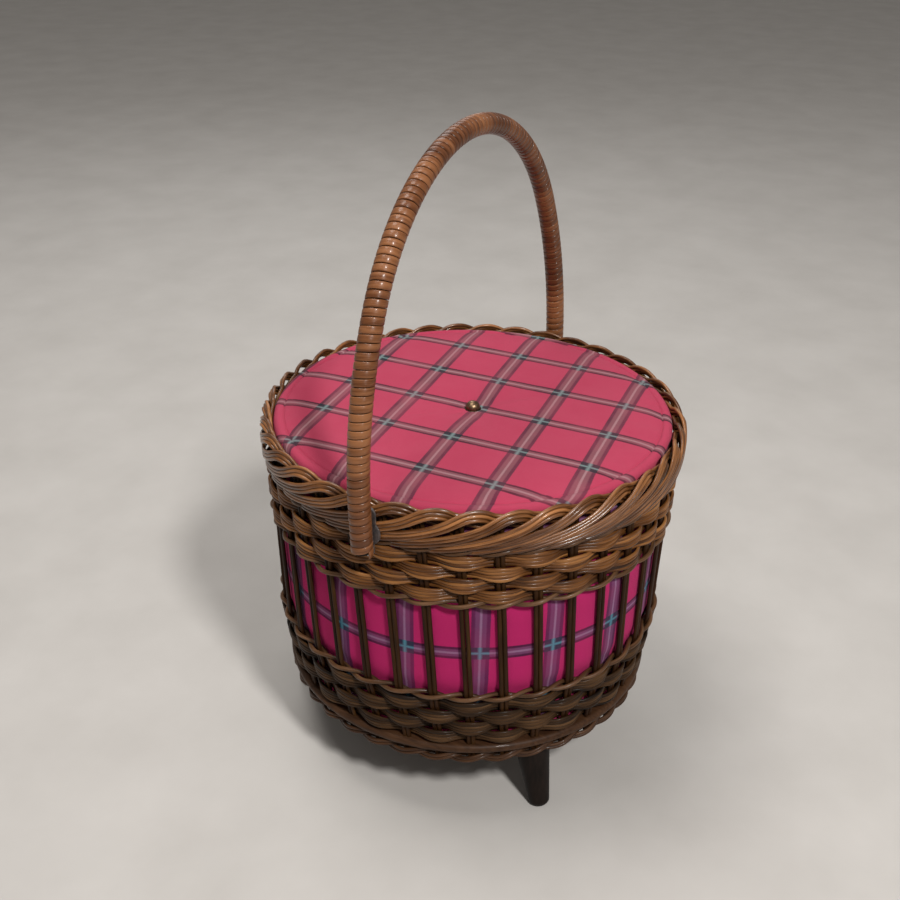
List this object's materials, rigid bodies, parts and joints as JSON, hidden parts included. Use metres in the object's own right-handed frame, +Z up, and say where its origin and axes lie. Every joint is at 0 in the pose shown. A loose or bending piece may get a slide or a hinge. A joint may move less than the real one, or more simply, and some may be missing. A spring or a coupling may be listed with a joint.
{
  "type": "sewing basket",
  "caption": "Round wicker sewing basket on splayed legs, with a cloth lining, a padded lift-off lid and a swinging cane-wrapped bail handle.",
  "frame": {"origin": "on the floor under the middle of the basket", "axes": "+Z up, the handle's pivot line along X, the basket's wall round Z"},
  "size_m": [0.388, 0.3494, 0.5429],
  "materials": {
    "cane": "varnished cane",
    "cane_thin": "varnished cane",
    "cane_stake": "varnished cane",
    "cane_border": "glossy varnished cane",
    "cane_dark": "varnished cane",
    "handle_cane": "glossy varnished cane",
    "base_wood": "varnished plywood",
    "leg_wood": "satin dark stain",
    "board": "hardboard",
    "lid_cloth": "woven cotton tartan",
    "lining_cloth": "woven cotton tartan",
    "wadding": "cotton wadding",
    "steel": "dull zinc-plated steel",
    "knob_brass": "tarnished brass"
  },
  "bodies": {
    "basket": {"base_board": "base_wood", "foot_border": "cane_dark", "stakes": "cane_stake", "lower_weave": "cane", "lower_pairing": "cane_thin", "upper_weave_bottom_pairing": "cane_thin", "upper_weave": "cane", "upper_weave_top_pairing": "cane_thin", "top_border": "cane_border", "lining_wall": "lining_cloth", "base_pad": "lining_cloth", "lid_rest_hoop": "cane", "leg_1": "leg_wood", "leg_2": "leg_wood", "leg_3": "leg_wood", "leg_screws": "steel", "handle_bracket_left": "steel", "handle_bracket_right": "steel", "backing_plate_left": "steel", "backing_plate_right": "steel", "bracket_screws": "steel", "bracket_nuts": "steel"},
    "handle": {"handle_core": "cane_dark", "handle_wrap": "handle_cane", "pivot_stud_left": "steel", "pivot_stud_right": "steel"},
    "lid": {"lid_board": "board", "lid_padding": "wadding", "lid_cover": "lid_cloth", "lid_underside": "lining_cloth", "lid_knob": "knob_brass", "knob_screw": "steel", "knob_washer": "steel"}
  },
  "joints": [
    {"name": "handle_swing", "type": "hinge", "parent": "basket", "child": "handle", "pos_m": [0, 0, 0.284], "axis": [1, 0, 0], "range_deg": [-128, 128]},
    {"name": "lid_lift", "type": "slide", "parent": "basket", "child": "lid", "axis": [0, 0, 1], "range_m": [0, 0.07]}
  ]
}
